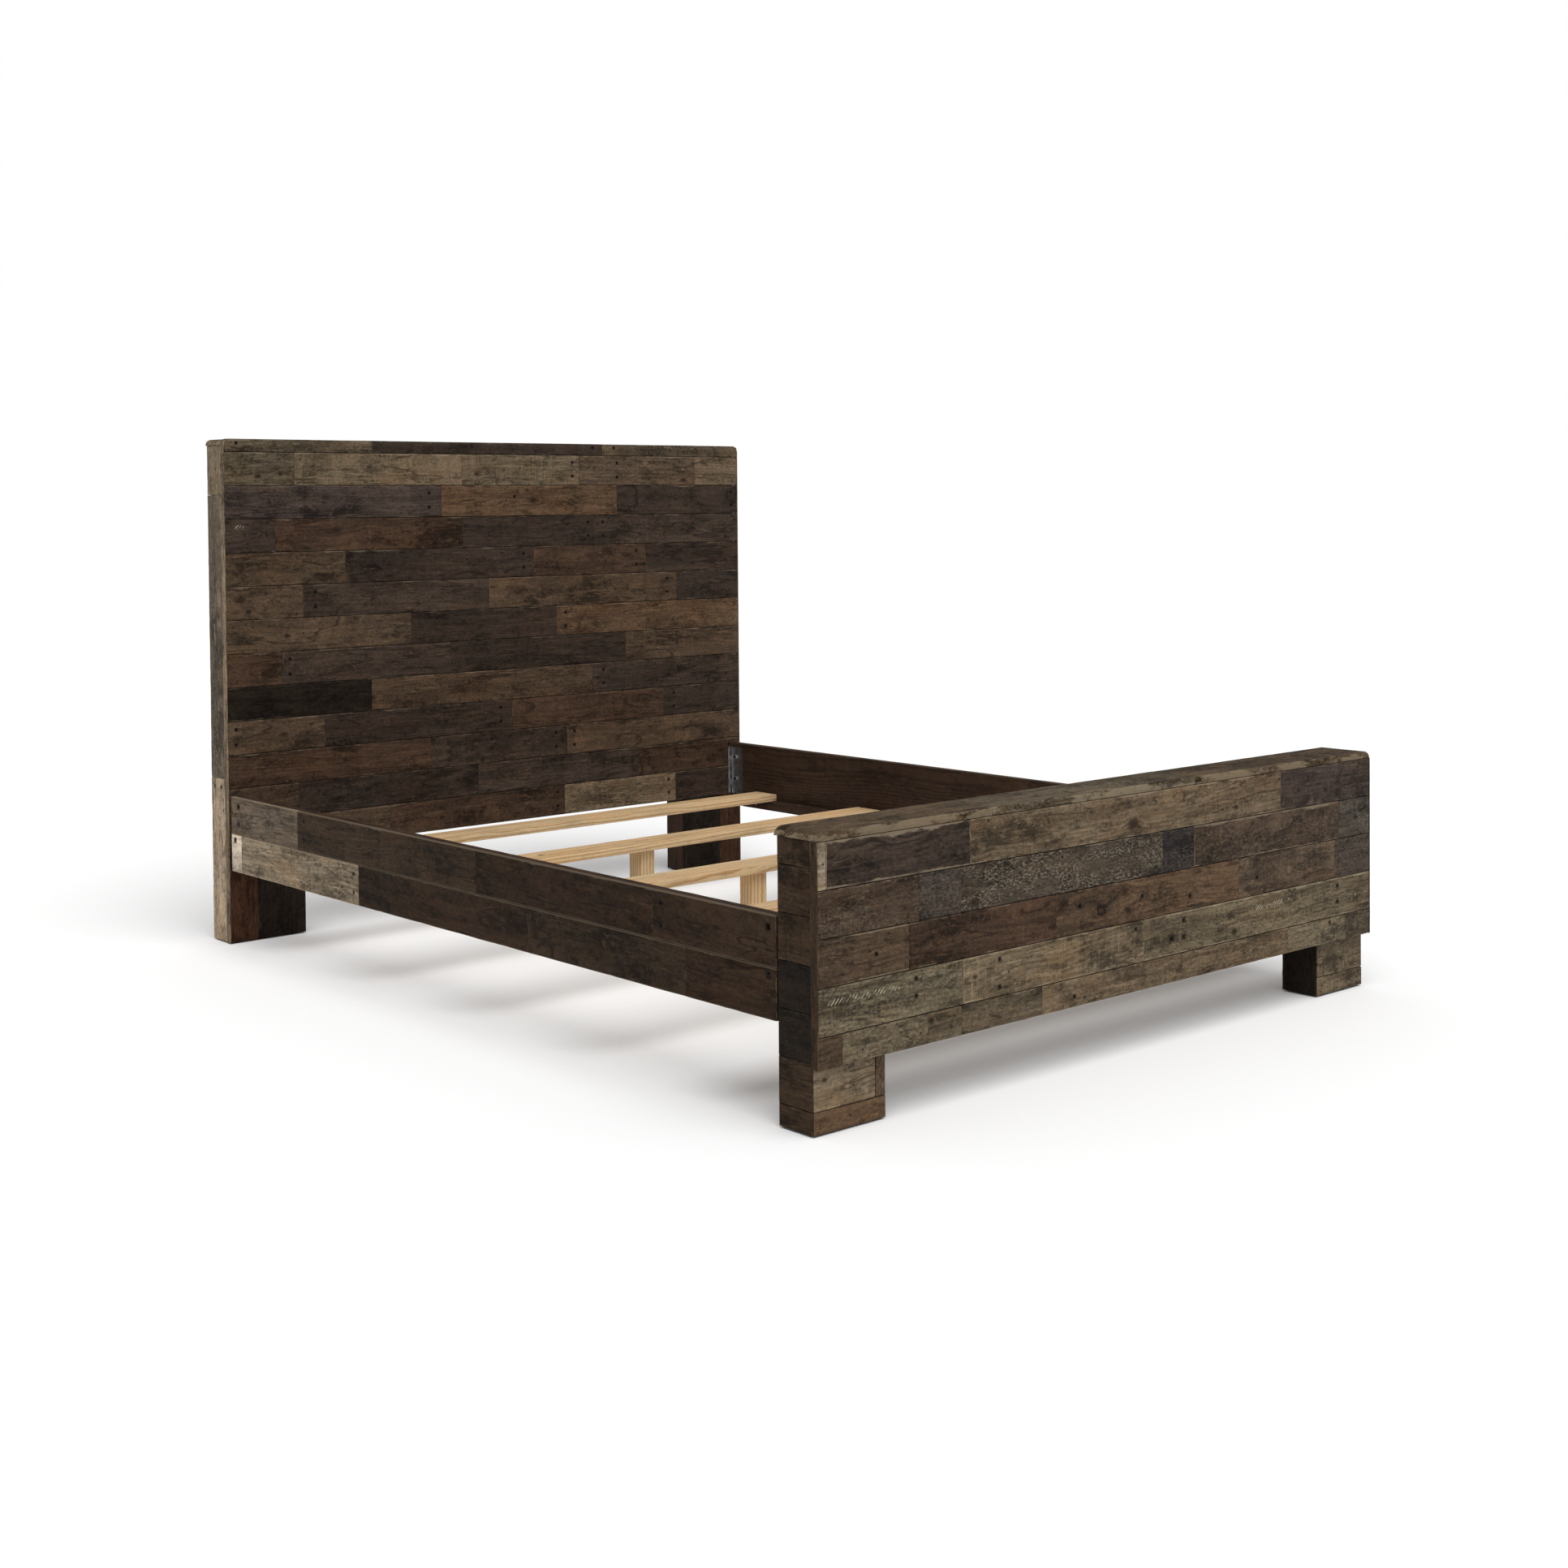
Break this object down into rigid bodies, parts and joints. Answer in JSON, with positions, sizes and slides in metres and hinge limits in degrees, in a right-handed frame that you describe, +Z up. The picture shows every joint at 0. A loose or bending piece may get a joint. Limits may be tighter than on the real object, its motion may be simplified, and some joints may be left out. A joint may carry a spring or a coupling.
{
  "type": "wooden bed frame",
  "caption": "Queen panel bed frame of mixed reclaimed-look boards: tall headboard, low footboard, side rails and slats on levelling centre legs.",
  "frame": {"origin": "on the floor, at the middle of the frame's width and length", "axes": "+Z up, +Y from the footboard to the headboard, +X to the right for a person standing at the footboard and facing the bed"},
  "size_m": [1.634, 2.261, 1.244],
  "materials": {
    "face_boards": "weathered matte, boards of mixed brown, tan and grey",
    "leg_boards": "weathered matte",
    "cap_boards": "weathered matte, worn arrises",
    "rail_boards": "weathered matte",
    "edge_bands": "matte veneer",
    "pine": "planed, unfinished",
    "stained_pine": "dark brown stain, matte",
    "back_sheet": "matte hardboard",
    "zinc_steel": "zinc plated, satin",
    "black_steel": "black oxide, satin",
    "black_plastic": "matte"
  },
  "bodies": {
    "frame": {"foot_post_left": "stained_pine", "foot_post_right": "stained_pine", "foot_leg_boards_left": "leg_boards", "foot_leg_boards_right": "leg_boards", "foot_row_1": "face_boards", "foot_row_2": "face_boards", "foot_row_3": "face_boards", "foot_row_4": "face_boards", "foot_row_5": "face_boards", "foot_edge_bands": "edge_bands", "foot_cap": "cap_boards", "foot_back_boards": "face_boards", "foot_stretchers": "stained_pine", "head_post_left": "stained_pine", "head_post_right": "stained_pine", "head_side_boards": "leg_boards", "head_top_strip": "face_boards", "head_row_1": "face_boards", "head_row_2": "face_boards", "head_row_3": "face_boards", "head_row_4": "face_boards", "head_row_5": "face_boards", "head_row_6": "face_boards", "head_row_7": "face_boards", "head_row_8": "face_boards", "head_row_9": "face_boards", "head_row_10": "face_boards", "head_row_11": "face_boards", "head_row_12": "face_boards", "head_leg_boards": "leg_boards", "head_edge_bands": "edge_bands", "head_cap": "cap_boards", "head_back_sheet": "back_sheet", "head_stretchers": "stained_pine", "rail_core_left": "stained_pine", "rail_core_right": "stained_pine", "rail_boards_left": "rail_boards", "rail_boards_right": "rail_boards", "rail_cleat_left": "stained_pine", "rail_cleat_right": "stained_pine", "cross_slats": "pine", "support_legs": "pine", "tee_nuts": "zinc_steel", "rail_hook_plates": "zinc_steel", "post_slot_plates": "zinc_steel", "hook_plate_bolts": "black_steel", "hook_plate_nuts": "zinc_steel", "slot_plate_screws": "zinc_steel", "cleat_screws": "zinc_steel", "slat_screws": "zinc_steel", "support_leg_screws": "zinc_steel", "stretcher_dowels": "pine", "post_glides": "black_plastic"},
    "pad_1": {"leveller_pad_1": "black_plastic"},
    "stud_1": {"leveller_stud_1": "zinc_steel"},
    "pad_2": {"leveller_pad_2": "black_plastic"},
    "stud_2": {"leveller_stud_2": "zinc_steel"},
    "pad_3": {"leveller_pad_3": "black_plastic"},
    "stud_3": {"leveller_stud_3": "zinc_steel"}
  },
  "joints": [
    {"name": "leveller_1_travel", "type": "slide", "parent": "frame", "child": "pad_1", "axis": [0, 0, 1], "range_m": [-0.015, 0.012]},
    {"name": "leveller_1_screw", "type": "hinge", "parent": "pad_1", "child": "stud_1", "pos_m": [0, -0.42575, 0.03], "axis": [0, 0, 1], "range_deg": [-4310, 3450]},
    {"name": "leveller_2_travel", "type": "slide", "parent": "frame", "child": "pad_2", "axis": [0, 0, 1], "range_m": [-0.015, 0.012]},
    {"name": "leveller_2_screw", "type": "hinge", "parent": "pad_2", "child": "stud_2", "pos_m": [0, 0.006, 0.03], "axis": [0, 0, 1], "range_deg": [-4310, 3450]},
    {"name": "leveller_3_travel", "type": "slide", "parent": "frame", "child": "pad_3", "axis": [0, 0, 1], "range_m": [-0.015, 0.012]},
    {"name": "leveller_3_screw", "type": "hinge", "parent": "pad_3", "child": "stud_3", "pos_m": [0, 0.43775, 0.03], "axis": [0, 0, 1], "range_deg": [-4310, 3450]}
  ],
  "couplings": [
    {"joint": "leveller_1_travel", "follows": "leveller_1_screw", "m_per_rad": 0.00019894},
    {"joint": "leveller_2_travel", "follows": "leveller_2_screw", "m_per_rad": 0.00019894},
    {"joint": "leveller_3_travel", "follows": "leveller_3_screw", "m_per_rad": 0.00019894}
  ]
}
